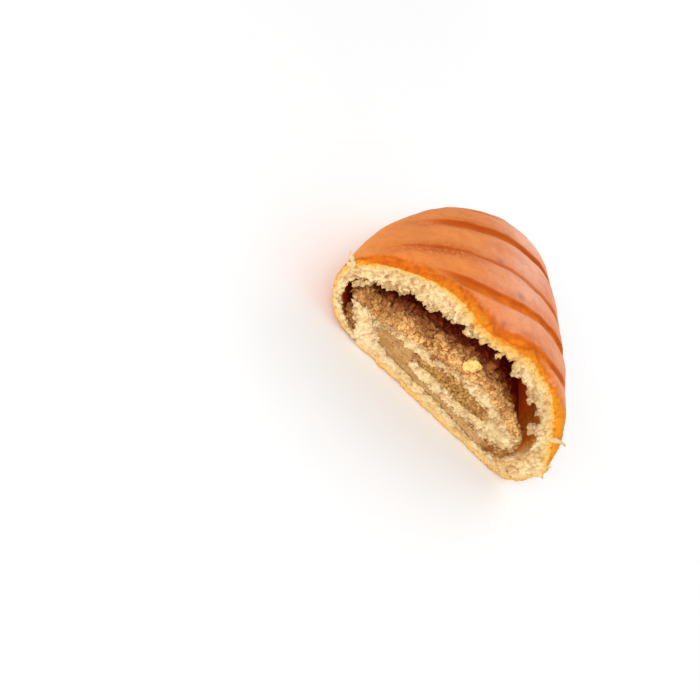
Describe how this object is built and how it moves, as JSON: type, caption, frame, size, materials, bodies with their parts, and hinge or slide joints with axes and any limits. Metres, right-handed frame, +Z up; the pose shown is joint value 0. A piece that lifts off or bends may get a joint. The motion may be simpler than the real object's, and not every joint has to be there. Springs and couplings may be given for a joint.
{
  "type": "walnut strudel half",
  "caption": "Torn half of a baked strudel: a flattened roll of browned, scored yeast dough round a spiral of ground-walnut filling.",
  "frame": {"origin": "under the middle of the bounding box, on the base plane", "axes": "+X along the torn face from its left to its right, +Y from the torn face to the rounded far end, +Z up"},
  "size_m": [0.0925, 0.0746, 0.0423],
  "materials": {
    "baked_dough": "soft satin orange-brown crust, pale open crumb where torn",
    "ground_walnut": "matt crumbly brown paste of ground walnut"
  },
  "bodies": {
    "root": {"dough": "baked_dough", "walnut_filling": "ground_walnut"}
  },
  "joints": []
}
